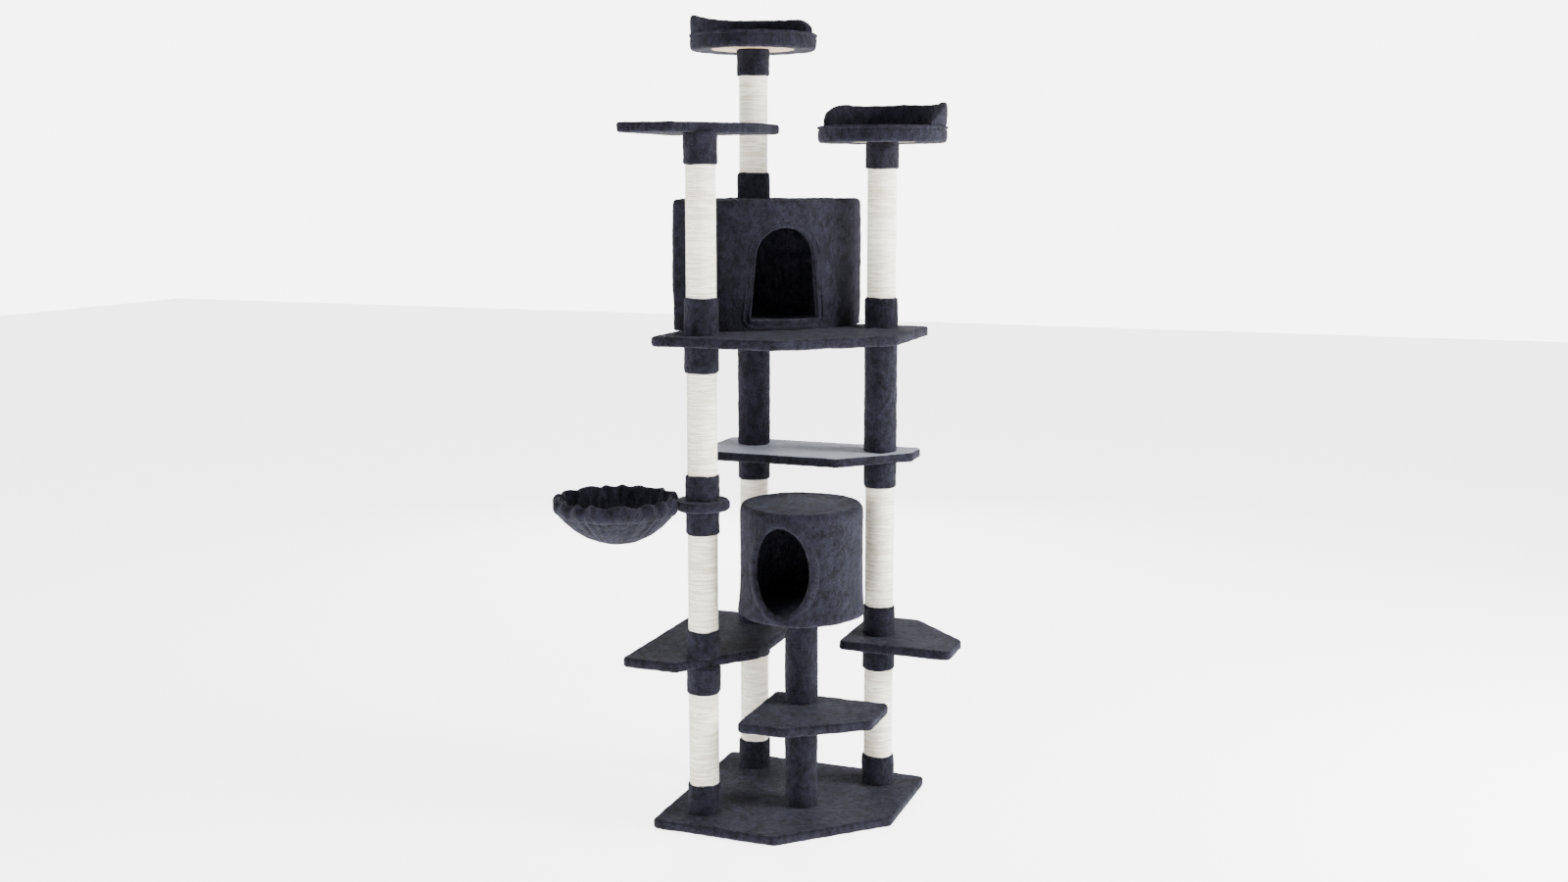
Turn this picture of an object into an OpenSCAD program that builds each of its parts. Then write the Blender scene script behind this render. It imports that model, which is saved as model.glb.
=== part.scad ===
// Tall cat tree: nine plush covered boards on four posts, a round house, a corner house,
// two rimmed perches and a hammock that swivels on the front left post.
// The origin is the centre of the base's underside, +X runs to the right along the front
// edge, +Y runs to the back and +Z is up. Lengths are in millimetres.

/* [Base] */
// Width of the base board
base_w = 560; // [460:10:680]
// Depth of the base board
base_d = 528; // [440:8:640]
// Length and depth cut off the front right corner of the base
base_cut = [232, 222]; // [120:2:280]

/* [Boards] */
// Thickness of a finished board, plush included
board_t = 25; // [20:1:32]
// Thickness of the plush with its backing
plush_t = 4; // [2:0.5:5]
// Radius of a board's corners seen from above
corner_r = 16; // [8:1:30]
// How much the deck's front edge is set back from the base's
deck_setback = 16; // [0:2:40]
// Reach of the low left board from its posts: left, right, front, back
low_left_reach = [186, 112, 88, 72]; // [60:2:240]
// Reach of the top left board from the front left post: left, right, front
top_left_reach = [186, 112, 88]; // [60:2:240]
// Gap between the top left board's back edge and the rear left post's sisal
top_left_gap = 56.5; // [10:0.5:90]
// Corner cut off both left boards
left_cut = [150, 184]; // [60:2:200]
// Reach of the low right board from the right post: left, right, front, back
low_right_reach = [78, 220, 106, 168]; // [60:2:260]
// Corner cut off the low right board
low_right_cut = [157, 153]; // [60:1:200]
// Reach of the middle board from its rear posts: left, right, front, back
middle_reach = [102, 86, 154, 90]; // [60:2:200]
// Corner cut off the middle board
middle_cut = [155, 162]; // [60:1:200]
// Reach of the step from the centre post: left, right, front, back
step_reach = [90, 218, 222, 56]; // [50:2:260]
// Corner cut off the step
step_cut = [185, 132]; // [60:1:200]

/* [Heights of the board undersides] */
// Step on the centre post
step_z = 273; // [240:1:300]
// Low boards at the left and the right
low_z = 405; // [370:1:440]
// Floor of the round house
round_house_z = 528; // [480:1:560]
// Hammock plate
hammock_z = 804; // [760:1:840]
// Middle board
middle_z = 891; // [860:1:940]
// Deck that carries the corner house
deck_z = 1213; // [1180:1:1280]
// Right perch
right_perch_z = 1709; // [1640:1:1760]
// Top left board
top_left_z = 1726; // [1660:1:1780]
// Rear perch
rear_perch_z = 1947; // [1880:1:2000]

/* [Posts] */
// Distance of the left posts from the base's left edge
left_inset = 102; // [70:1:120]
// Distance of the right post from the base's right edge
right_inset = 107; // [70:1:120]
// Distance of the front left post from the base's front edge
front_inset = 99; // [70:1:120]
// Distance of the rear posts from the base's back edge
rear_inset = 79; // [60:1:110]
// Place of the centre post from the centre of the base
centre_post = [35, -33]; // [-60:1:60]
// Diameter over the sisal rope
sisal_d = 75; // [68:1:84]
// Diameter of the sisal rope itself
rope_d = 5; // [4:1:6]
// Thickness of the plush collars and sleeves, pile included
collar_t = 4.8; // [3:0.2:6]
// Wall of the cardboard tubes
tube_wall = 4; // [2.5:0.5:6]
// Height of a collar that stands on the base
foot_collar_h = 76; // [50:1:100]
// Height of a collar beside a board
collar_h = 68; // [50:1:90]
// Height of the collars beside the hammock plate
hammock_collar_h = 61; // [50:1:80]
// Height of a collar that stands on the deck
deck_collar_h = 90; // [60:1:110]

/* [Fasteners] */
// Diameter of the threaded studs and bolts
stud_d = 8; // [6:1:10]
// How far a stud reaches into a tube's end plug
stud_reach = 18; // [12:1:24]
// Thickness of an end plug
plug_t = 20; // [14:1:26]
// Width of a bolt's hexagonal head across its corners
bolt_head_d = 15; // [12:1:18]
// Height of a bolt's head
bolt_head_h = 5; // [4:0.5:6]

/* [Houses] */
// Diameter of the round house
round_house_d = 310; // [290:2:330]
// Height of the round house
round_house_h = 277; // [240:1:300]
// Width and height of the round house's oval doorway
oval_door = [144, 224]; // [100:2:240]
// Height of the oval doorway's lowest point above the house's underside
oval_door_sill = 25; // [20:1:40]
// Gap between the corner house's curved front and the front left post's collar
corner_house_gap = 43.7; // [20:0.1:90]
// Distance of that curve's centre beyond the house's left wall and back wall
corner_house_beyond = [6, 28]; // [0:1:40]
// Overhang of the corner house past the deck's left edge
corner_house_overhang = 6; // [0:1:10]
// Height of the corner house
corner_house_h = 325; // [290:1:350]
// Width of the arched doorway at the sill and where the arch starts
arch_door_w = [188, 160]; // [120:2:200]
// Height of the arched doorway, and of its sides up to the arch
arch_door_h = [234, 157]; // [120:1:260]
// Height of the arched doorway's sill above the deck
arch_door_sill = 25; // [20:1:40]
// Thickness of the bent wall board
wall_t = 5; // [3:0.5:8]
// Thickness of a house's floor and roof boards
panel_t = 12; // [9:1:16]
// Width of the band sewn round a doorway
trim_w = 11; // [8:1:16]
// Thickness of that band
trim_t = 3; // [2:0.5:4]

/* [Perches] */
// Diameter of a perch
perch_d = 326; // [290:2:350]
// Thickness of a perch without its rim
perch_t = 35; // [28:1:42]
// Thickness of the rim's padding
rim_t = 22; // [16:1:28]
// Height of the rear perch's rim above its seat
rear_rim_h = 53; // [40:1:70]
// Height of the right perch's rim above its seat
right_rim_h = 62; // [40:1:80]
// Width of the bare strip left in the middle of a perch's underside
lining_d = 250; // [200:2:270]

/* [Hammock] */
// Radius of the plate clamped in the post
plate_r = 69; // [60:1:80]
// Thickness of that plate, plush included
plate_t = 26; // [20:1:30]
// Gap above and below the plate that lets it turn
swivel_gap = 0.3; // [0.2:0.1:0.5]
// Distance from the post to the middle of the hammock
hammock_reach = 211; // [200:1:225]
// Direction of the hammock from the post, in degrees
hammock_turn = 200; // [190:1:215]
// Radius of the wire hoop
hoop_r = 150; // [140:1:155]
// Diameter of the hoop's wire
wire_d = 6; // [4:0.5:8]
// Depth of the bowl below the hoop
bowl_depth = 102; // [80:1:120]
// Thickness of the bowl's fabric
bowl_t = 4; // [3:0.5:6]
// Radius of the sewn casing that holds the hoop
casing_r = 9; // [7:0.5:11]

/* [Hidden] */
$fn = 96;

plush_colour = "#2c2d3a";
sisal_colour = "#ece8dc";
board_colour = "#c9ab7c";
card_colour = "#a98a62";
steel_colour = "silver";

eps = 1;                                 // how far a cutting shape runs past what it cuts
corner_steps = 6;                        // straight pieces in a rounded corner
sisal_r = sisal_d / 2;
rope_tube_r = sisal_r - rope_d;          // outer radius of a tube under sisal
plush_tube_r = sisal_r;                  // outer radius of a tube under plush
collar_r = sisal_r + collar_t;
stud_r = stud_d / 2;
core_t = board_t - 2 * plush_t;          // thickness of a chipboard core
board_hole_r = stud_r + 0.5;
head_hole_r = bolt_head_d / 2 + 4;

// Post axes
left_x = -base_w / 2 + left_inset;
right_x = base_w / 2 - right_inset;
front_y = -base_d / 2 + front_inset;
rear_y = base_d / 2 - rear_inset;
front_left = [left_x, front_y];
rear_left = [left_x, rear_y];
right = [right_x, rear_y];

// Top faces
base_top = board_t;
step_top = step_z + board_t;
low_top = low_z + board_t;
middle_top = middle_z + board_t;
deck_top = deck_z + board_t;
hammock_top = hammock_z + plate_t;
house_roof_top = deck_top + corner_house_h;

// Board plans: [left, right, front, back, corner cut, true if the cut is at the back]
function plan(post, reach, cut, at_back = false) =
    [post[0] - reach[0], post[0] + reach[1], post[1] - reach[2], post[1] + reach[3], cut, at_back];
base_plan = [-base_w / 2, base_w / 2, -base_d / 2, base_d / 2, base_cut, false];
deck_plan = [-base_w / 2, base_w / 2, -base_d / 2 + deck_setback, base_d / 2, base_cut, false];
step_plan = plan(centre_post, step_reach, step_cut);
low_left_plan = [left_x - low_left_reach[0], left_x + low_left_reach[1],
    front_y - low_left_reach[2], rear_y + low_left_reach[3], left_cut, false];
top_left_plan = [left_x - top_left_reach[0], left_x + top_left_reach[1],
    front_y - top_left_reach[2], rear_y - sisal_r - top_left_gap, left_cut, false];
low_right_plan = plan(right, low_right_reach, low_right_cut, true);
middle_plan = [left_x - middle_reach[0], right_x + middle_reach[1],
    rear_y - middle_reach[2], rear_y + middle_reach[3], middle_cut, false];

// Segments of each post: [bottom, top, lower collar, upper collar]
front_left_segments = [
    [base_top, low_z, foot_collar_h, collar_h],
    [low_top, hammock_z, collar_h, hammock_collar_h],
    [hammock_top, deck_z, hammock_collar_h, collar_h],
    [deck_top, top_left_z, deck_collar_h, foot_collar_h],
];
rear_left_segments = [
    [base_top, low_z, foot_collar_h, collar_h],
    [low_top, middle_z, foot_collar_h, collar_h],
    [house_roof_top, rear_perch_z, collar_h, collar_h],
];
right_segments = [
    [base_top, low_z, foot_collar_h, collar_h],
    [low_top, middle_z, foot_collar_h, collar_h],
    [deck_top, right_perch_z, foot_collar_h, collar_h],
];
rear_plush_segment = [middle_top, deck_z];
centre_segments = [[base_top, step_z], [step_top, round_house_z]];

// A corner p between the points a and b, rounded to radius r
function unit(v) = v / norm(v);
function rounded_corner(a, p, b, r) =
    let (u = unit(a - p), w = unit(b - p), half = acos(u * w) / 2,
         c = p + unit(u + w) * r / sin(half), s = p + u * r / tan(half) - c,
         start = atan2(s[1], s[0]), sweep = 180 - 2 * half)
    [for (k = [0 : corner_steps])
        c + r * [cos(start + sweep * k / corner_steps), sin(start + sweep * k / corner_steps)]];
function rounded(points, r) =
    let (n = len(points))
    [for (i = [0 : n - 1])
        each rounded_corner(points[(i + n - 1) % n], points[i], points[(i + 1) % n], r)];

// The cut's two legs once the whole outline is moved inwards by t
function inset_cut(cut, t) =
    [cut[0] - t + t * (norm(cut) - cut[0]) / cut[1], cut[1] - t + t * (norm(cut) - cut[1]) / cut[0]];

// Outline of a board plan, moved inwards by t
function outline(p, t = 0) =
    let (x0 = p[0] + t, x1 = p[1] - t, y0 = p[2] + t, y1 = p[3] - t, c = inset_cut(p[4], t))
    rounded(p[5]
        ? [[x0, y0], [x1, y0], [x1, y1 - c[1]], [x1 - c[0], y1], [x0, y1]]
        : [[x0, y0], [x1 - c[0], y0], [x1, y0 + c[1]], [x1, y1], [x0, y1]],
        corner_r - t);

// Chipboard core of a board, drilled for its posts
module board_core(p, z, posts) {
    color(board_colour)
    difference() {
        translate([0, 0, z + plush_t]) linear_extrude(core_t) polygon(outline(p, plush_t));
        for (post = posts) stud_hole(post, z, board_t);
    }
}

// Plush wrapped round a board, pierced for the posts that stand on it and under it
module board_cover(p, z, posts, hole_t = board_t) {
    color(plush_colour)
    difference() {
        translate([0, 0, z]) linear_extrude(board_t) polygon(outline(p));
        translate([0, 0, z + plush_t]) linear_extrude(core_t) polygon(outline(p, plush_t));
        for (post = posts) stud_hole(post, z, hole_t);
    }
}

module stud_hole(post, z, t) {
    translate([post[0], post[1], z - eps]) cylinder(h = t + 2 * eps, r = board_hole_r);
}

module ring(post, z, h, r_out, r_in) {
    translate([post[0], post[1], z])
    difference() {
        cylinder(h = h, r = r_out);
        translate([0, 0, -eps]) cylinder(h = h + 2 * eps, r = r_in);
    }
}

// Post parts
module tubes(post, segments, r) {
    color(card_colour)
    for (s = segments) ring(post, s[0], s[1] - s[0], r, r - tube_wall);
}

module sisal(post, s) {
    color(sisal_colour) ring(post, s[0], s[1] - s[0], sisal_r, rope_tube_r);
}

module collars(post, segments) {
    color(plush_colour)
    for (s = segments) {
        ring(post, s[0], s[2], collar_r, sisal_r);
        ring(post, s[1] - s[3], s[3], collar_r, sisal_r);
    }
}

module sleeve(post, s) {
    color(plush_colour) ring(post, s[0], s[1] - s[0], collar_r, plush_tube_r);
}

// Base
bolt_posts = [front_left, rear_left, right, centre_post];
head_pocket = plush_t + bolt_head_h;     // depth of the recess for a bolt's head

module head_pockets() {
    for (post = bolt_posts)
        translate([post[0], post[1], -eps]) cylinder(h = head_pocket + eps, r = head_hole_r);
}

module base_core() {
    difference() {
        board_core(base_plan, 0, bolt_posts);
        color(board_colour) head_pockets();
    }
}

module base_cover() {
    difference() {
        board_cover(base_plan, 0, bolt_posts);
        color(plush_colour) head_pockets();
    }
}

// Boards
module step_core() { board_core(step_plan, step_z, [centre_post]); }
module step_cover() { board_cover(step_plan, step_z, [centre_post]); }
module low_left_core() { board_core(low_left_plan, low_z, [front_left, rear_left]); }
module low_left_cover() { board_cover(low_left_plan, low_z, [front_left, rear_left]); }
module low_right_core() { board_core(low_right_plan, low_z, [right]); }
module low_right_cover() { board_cover(low_right_plan, low_z, [right]); }
module middle_core() { board_core(middle_plan, middle_z, [rear_left, right]); }
module middle_cover() { board_cover(middle_plan, middle_z, [rear_left, right]); }
module deck_core() { board_core(deck_plan, deck_z, [front_left, rear_left, right]); }
module deck_cover() { board_cover(deck_plan, deck_z, [front_left, rear_left, right]); }
module top_left_core() { board_core(top_left_plan, top_left_z, [front_left]); }
module top_left_cover() { board_cover(top_left_plan, top_left_z, [front_left], plush_t); }

// Perches: a round board, a padded plush cover that leaves the underside's middle bare,
// and a padded rim round the back
perch_r = perch_d / 2;

module perch_core(post, z) {
    color(board_colour)
    translate([post[0], post[1], z])
    difference() {
        union() {
            cylinder(h = plush_t, r = lining_d / 2);
            translate([0, 0, plush_t]) cylinder(h = core_t, r = perch_r - plush_t);
        }
        translate([0, 0, -eps]) cylinder(h = core_t + eps, r = stud_r);
    }
}

module perch_cover(post, z) {
    color(plush_colour)
    translate([post[0], post[1], z])
    difference() {
        cylinder(h = perch_t, r = perch_r);
        translate([0, 0, plush_t]) cylinder(h = core_t, r = perch_r - plush_t);
        translate([0, 0, -eps]) cylinder(h = plush_t + 2 * eps, r = lining_d / 2);
    }
}

// Rim from one angle to another: an arc whose ends slope down to the seat, one steeply
steep_turn = 12;                         // angle over which the steep end rises
gentle_turn = 40;                        // angle over which the gentle end rises
rim_end_h = 10;                          // height left at the very end of a slope

module rim(post, z, h, steep_end, gentle_end) {
    way = gentle_end > steep_end ? 1 : -1;
    color(plush_colour)
    translate([post[0], post[1], z])
    difference() {
        rotate([0, 0, min(steep_end, gentle_end)])
            rotate_extrude(angle = abs(gentle_end - steep_end))
            translate([perch_r - rim_t, 0]) square([rim_t, h]);
        end_slope(steep_end + way * steep_turn / 2, steep_turn, h, way < 0);
        end_slope(gentle_end - way * gentle_turn / 2, gentle_turn, h, way > 0);
    }
}

// What is cut away above a slope centred on an angle; it falls towards larger angles or smaller ones
module end_slope(middle, turn, h, falls_onwards) {
    length = 2 * perch_r * sin(turn / 2);
    rotate([0, 0, middle])
    mirror([0, falls_onwards ? 0 : 1, 0])
    translate([0, length / 2, rim_end_h])
    rotate([-atan2(h - rim_end_h, length), 0, 0])
    translate([0, -perch_r, 0]) cube([2 * perch_r, perch_r + rim_t, perch_r]);
}

module rear_perch_core() { perch_core(rear_left, rear_perch_z); }
module rear_perch_cover() { perch_cover(rear_left, rear_perch_z); }
module rear_perch_rim() { rim(rear_left, rear_perch_z + perch_t, rear_rim_h, 230, 34); }
module right_perch_core() { perch_core(right, right_perch_z); }
module right_perch_cover() { perch_cover(right, right_perch_z); }
module right_perch_rim() { rim(right, right_perch_z + perch_t, right_rim_h, -18, 181); }

// Posts
module front_left_tubes() { tubes(front_left, front_left_segments, rope_tube_r); }
module rear_left_tubes() {
    tubes(rear_left, rear_left_segments, rope_tube_r);
    tubes(rear_left, [rear_plush_segment], plush_tube_r);
}
module right_tubes() {
    tubes(right, right_segments, rope_tube_r);
    tubes(right, [rear_plush_segment], plush_tube_r);
}
module centre_tubes() { tubes(centre_post, centre_segments, plush_tube_r); }
module front_left_sisal_1() { sisal(front_left, front_left_segments[0]); }
module front_left_sisal_2() { sisal(front_left, front_left_segments[1]); }
module front_left_sisal_3() { sisal(front_left, front_left_segments[2]); }
module front_left_sisal_4() { sisal(front_left, front_left_segments[3]); }
module rear_left_sisal_1() { sisal(rear_left, rear_left_segments[0]); }
module rear_left_sisal_2() { sisal(rear_left, rear_left_segments[1]); }
module rear_left_sisal_3() { sisal(rear_left, rear_left_segments[2]); }
module right_sisal_1() { sisal(right, right_segments[0]); }
module right_sisal_2() { sisal(right, right_segments[1]); }
module right_sisal_3() { sisal(right, right_segments[2]); }
module front_left_collars() { collars(front_left, front_left_segments); }
module rear_left_collars() { collars(rear_left, rear_left_segments); }
module right_collars() { collars(right, right_segments); }
module rear_left_sleeve() { sleeve(rear_left, rear_plush_segment); }
module right_sleeve() { sleeve(right, rear_plush_segment); }
module centre_lower_sleeve() { sleeve(centre_post, centre_segments[0]); }
module centre_upper_sleeve() { sleeve(centre_post, centre_segments[1]); }

// Wooden plugs glued into both ends of every tube, bored for the studs
module end_plugs(post, segments, tube_r) {
    for (s = segments, z = [s[0], s[1] - plug_t]) ring(post, z, plug_t, tube_r - tube_wall, stud_r);
}

module tube_end_plugs() {
    color(board_colour) {
        end_plugs(front_left, front_left_segments, rope_tube_r);
        end_plugs(rear_left, rear_left_segments, rope_tube_r);
        end_plugs(right, right_segments, rope_tube_r);
        end_plugs(rear_left, [rear_plush_segment], plush_tube_r);
        end_plugs(right, [rear_plush_segment], plush_tube_r);
        end_plugs(centre_post, centre_segments, plush_tube_r);
    }
}

// A threaded stud that joins two posts through whatever lies between z and z + t
module stud(post, z, t) {
    translate([post[0], post[1], z - stud_reach]) cylinder(h = t + 2 * stud_reach, r = stud_r);
}

// A stud from the post below into the underside of a perch or of the top board
module end_stud(post, z, depth) {
    translate([post[0], post[1], z - stud_reach]) cylinder(h = stud_reach + depth, r = stud_r);
}

module post_studs() {
    color(steel_colour) {
        stud(front_left, low_z, board_t);
        stud(front_left, hammock_z, plate_t);
        stud(front_left, deck_z, board_t);
        stud(rear_left, low_z, board_t);
        stud(rear_left, middle_z, board_t);
        stud(right, low_z, board_t);
        stud(right, middle_z, board_t);
        stud(right, deck_z, board_t);
        stud(centre_post, step_z, board_t);
        end_stud(front_left, top_left_z, board_t - plush_t);
        end_stud(rear_left, rear_perch_z, core_t);
        end_stud(right, right_perch_z, core_t);
    }
}

// A hexagonal bolt: its head's face lies at z and it points up or down
module bolt(post, z, length, up) {
    translate([post[0], post[1], z]) mirror([0, 0, up ? 0 : 1]) {
        cylinder(h = length, r = stud_r);
        translate([0, 0, -bolt_head_h]) cylinder(h = bolt_head_h, d = bolt_head_d, $fn = 6);
    }
}

module board_bolts() {
    color(steel_colour) {
        for (post = bolt_posts) bolt(post, head_pocket, base_top - head_pocket + stud_reach, true);
        bolt(centre_post, round_house_z + plush_t + panel_t, plush_t + panel_t + stud_reach, false);
        bolt(rear_left, deck_top + plush_t + panel_t, board_t + plush_t + panel_t + stud_reach, false);
        bolt(rear_left, house_roof_top - plush_t - panel_t, plush_t + panel_t + stud_reach, true);
    }
}

// Round house on the centre post, with an oval doorway in front
round_house_r = round_house_d / 2;
round_wall_r = round_house_r - plush_t;
round_room_r = round_wall_r - wall_t;
round_house_top = round_house_z + round_house_h;
door_steps = 36;

module oval_prism(grow, depth) {
    w = oval_door[0] / 2 + grow;
    h = oval_door[1] / 2 + grow;
    translate([centre_post[0], centre_post[1], round_house_z + oval_door_sill + oval_door[1] / 2])
    rotate([90, 0, 0])
    linear_extrude(depth)
        polygon([for (k = [0 : door_steps - 1]) [w * cos(k * 360 / door_steps), h * sin(k * 360 / door_steps)]]);
}

module round_house_wall() {
    color(card_colour)
    difference() {
        ring(centre_post, round_house_z + plush_t, round_house_h - 2 * plush_t, round_wall_r, round_room_r);
        oval_prism(0, round_house_d);
    }
}

module round_house_panel(z) {
    translate([centre_post[0], centre_post[1], z]) cylinder(h = panel_t, r = round_room_r);
}

module round_house_floor() {
    color(board_colour)
    difference() {
        round_house_panel(round_house_z + plush_t);
        stud_hole(centre_post, round_house_z, plush_t + panel_t);
    }
}

module round_house_roof() {
    color(board_colour) round_house_panel(round_house_top - plush_t - panel_t);
}

module round_house_cover() {
    color(plush_colour)
    difference() {
        translate([centre_post[0], centre_post[1], round_house_z]) cylinder(h = round_house_h, r = round_house_r);
        translate([centre_post[0], centre_post[1], round_house_z + plush_t])
            cylinder(h = round_house_h - 2 * plush_t, r = round_wall_r);
        oval_prism(0, round_house_d);
        stud_hole(centre_post, round_house_z, plush_t);
    }
}

module round_house_door_trim() {
    color(plush_colour)
    intersection() {
        ring(centre_post, round_house_z, round_house_h, round_house_r + trim_t, round_house_r);
        difference() {
            oval_prism(trim_w, round_house_d);
            translate([0, eps, 0]) oval_prism(0, round_house_d + 2 * eps);
        }
    }
}

// Corner house on the deck: two straight walls at the back left and a curved front
house_left = -base_w / 2 - corner_house_overhang;
house_back = base_d / 2;
curve_centre = [house_left - corner_house_beyond[0], house_back + corner_house_beyond[1]];
corner_house_r = norm(front_left - curve_centre) - collar_r - corner_house_gap;
door_turn = -46;                         // direction the arched doorway faces
door_cut_start = corner_house_r - 60;    // the doorway is cut from here out to past the front
door_cut = 60 + 2 * trim_t;
arch_steps = 18;

module corner_plan(t) {
    intersection() {
        translate(curve_centre) circle(r = corner_house_r - t, $fn = 180);
        translate([house_left + t, house_back - t - corner_house_r]) square([corner_house_r, corner_house_r]);
    }
}

module corner_block(z, h, t) {
    translate([0, 0, z]) linear_extrude(h) corner_plan(t);
}

module arch_prism(grow, depth) {
    sill = arch_door_w[0] / 2 + grow;
    side = arch_door_w[1] / 2 + grow;
    rise = arch_door_h[0] - arch_door_h[1] + grow;
    translate([curve_centre[0], curve_centre[1], deck_top + arch_door_sill])
    rotate([0, 0, door_turn + 90])
    translate([0, -door_cut_start, 0])
    rotate([90, 0, 0])
    linear_extrude(depth)
        polygon(concat([[-sill, -grow], [sill, -grow]],
            [for (k = [0 : arch_steps])
                [side * cos(k * 180 / arch_steps), arch_door_h[1] + rise * sin(k * 180 / arch_steps)]]));
}

module corner_house_wall() {
    room_t = plush_t + wall_t;
    color(card_colour)
    difference() {
        corner_block(deck_top + plush_t, corner_house_h - 2 * plush_t, plush_t);
        corner_block(deck_top, corner_house_h, room_t);
        arch_prism(0, door_cut);
    }
}

module corner_house_floor() {
    color(board_colour)
    difference() {
        corner_block(deck_top + plush_t, panel_t, plush_t + wall_t);
        stud_hole(rear_left, deck_top, plush_t + panel_t);
    }
}

module corner_house_roof() {
    color(board_colour)
    difference() {
        corner_block(house_roof_top - plush_t - panel_t, panel_t, plush_t + wall_t);
        stud_hole(rear_left, house_roof_top - plush_t - panel_t, plush_t + panel_t);
    }
}

module corner_house_cover() {
    color(plush_colour)
    difference() {
        corner_block(deck_top, corner_house_h, 0);
        corner_block(deck_top + plush_t, corner_house_h - 2 * plush_t, plush_t);
        arch_prism(0, door_cut);
        stud_hole(rear_left, deck_top, plush_t);
        stud_hole(rear_left, house_roof_top - plush_t, plush_t);
    }
}

module corner_house_door_trim() {
    color(plush_colour)
    intersection() {
        ring(curve_centre, deck_top, corner_house_h, corner_house_r + trim_t, corner_house_r);
        difference() {
            arch_prism(trim_w, door_cut);
            arch_prism(0, door_cut + eps);
        }
    }
}

// Hammock: a plate clamped in the front left post, a wire hoop in the plate and a hanging bowl
plate_z = hammock_z + swivel_gap;
plate_h = plate_t - 2 * swivel_gap;
hoop_z = hammock_z + plate_t / 2;
hammock_x = left_x + hammock_reach * cos(hammock_turn);
hammock_y = front_y + hammock_reach * sin(hammock_turn);
bowl_r = (hoop_r * hoop_r + bowl_depth * bowl_depth) / (2 * bowl_depth);

module hoop(r) {
    translate([hammock_x, hammock_y, hoop_z]) rotate_extrude() translate([hoop_r, 0]) circle(r = r);
}

module plate_disc(z, h, r) {
    translate([left_x, front_y, z]) cylinder(h = h, r = r);
}

module hammock_plate_core() {
    color(board_colour)
    difference() {
        plate_disc(plate_z + plush_t, plate_h - 2 * plush_t, plate_r - plush_t);
        stud_hole(front_left, hammock_z, plate_t);
        hoop(wire_d / 2);
    }
}

module hammock_plate_cover() {
    color(plush_colour)
    difference() {
        plate_disc(plate_z, plate_h, plate_r);
        plate_disc(plate_z + plush_t, plate_h - 2 * plush_t, plate_r - plush_t);
        stud_hole(front_left, hammock_z, plate_t);
        hoop(wire_d / 2);
    }
}

module hammock_hoop() {
    color(steel_colour) hoop(wire_d / 2);
}

module hammock_bowl() {
    color(plush_colour)
    difference() {
        translate([hammock_x, hammock_y, hoop_z]) rotate_extrude() difference() {
            union() {
                translate([hoop_r, 0]) circle(r = casing_r);
                intersection() {
                    translate([0, bowl_r - bowl_depth]) difference() {
                        circle(r = bowl_r);
                        circle(r = bowl_r - bowl_t);
                    }
                    translate([0, -bowl_depth - eps]) square([hoop_r + bowl_t, bowl_depth + eps]);
                }
            }
            translate([hoop_r, 0]) circle(r = wire_d / 2);
        }
        plate_disc(plate_z - swivel_gap - eps, plate_t + 2 * eps, plate_r + swivel_gap);
    }
}

base_core();
base_cover();
step_core();
step_cover();
low_left_core();
low_left_cover();
low_right_core();
low_right_cover();
middle_core();
middle_cover();
deck_core();
deck_cover();
top_left_core();
top_left_cover();
rear_perch_core();
rear_perch_cover();
rear_perch_rim();
right_perch_core();
right_perch_cover();
right_perch_rim();
front_left_tubes();
rear_left_tubes();
right_tubes();
centre_tubes();
front_left_sisal_1();
front_left_sisal_2();
front_left_sisal_3();
front_left_sisal_4();
rear_left_sisal_1();
rear_left_sisal_2();
rear_left_sisal_3();
right_sisal_1();
right_sisal_2();
right_sisal_3();
front_left_collars();
rear_left_collars();
right_collars();
rear_left_sleeve();
right_sleeve();
centre_lower_sleeve();
centre_upper_sleeve();
tube_end_plugs();
post_studs();
board_bolts();
round_house_wall();
round_house_floor();
round_house_roof();
round_house_cover();
round_house_door_trim();
corner_house_wall();
corner_house_floor();
corner_house_roof();
corner_house_cover();
corner_house_door_trim();
hammock_plate_core();
hammock_plate_cover();
hammock_hoop();
hammock_bowl();
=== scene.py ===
# %% [markdown]
# # A tall cat tree in dark plush and pale sisal
# The real tree is chipboard boards wrapped in short plush, cardboard posts wound with sisal
# rope, two plush houses, two round perches with padded backs and a hammock sewn on a wire hoop.
# The fixed frame gives every piece its place. Each piece that is cloth or rope on the real tree
# is built here as its own soft mesh and takes the place of the frame's plain solid.

import math
import bpy
import numpy as np
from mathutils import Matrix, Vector, noise


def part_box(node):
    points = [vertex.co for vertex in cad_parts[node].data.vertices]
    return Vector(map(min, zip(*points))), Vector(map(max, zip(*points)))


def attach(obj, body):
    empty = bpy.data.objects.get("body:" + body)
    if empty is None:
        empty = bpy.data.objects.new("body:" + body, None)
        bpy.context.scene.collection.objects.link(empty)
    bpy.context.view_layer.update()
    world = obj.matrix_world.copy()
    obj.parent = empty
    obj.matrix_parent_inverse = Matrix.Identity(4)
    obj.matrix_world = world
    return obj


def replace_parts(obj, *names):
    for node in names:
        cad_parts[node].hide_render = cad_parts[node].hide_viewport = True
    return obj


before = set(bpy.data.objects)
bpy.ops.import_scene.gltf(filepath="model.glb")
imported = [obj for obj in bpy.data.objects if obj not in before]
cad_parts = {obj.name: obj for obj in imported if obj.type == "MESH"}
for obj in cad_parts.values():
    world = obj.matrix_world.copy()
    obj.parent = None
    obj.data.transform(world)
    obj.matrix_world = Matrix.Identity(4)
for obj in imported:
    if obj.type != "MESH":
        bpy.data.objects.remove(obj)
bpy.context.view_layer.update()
MM = 0.001

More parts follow.
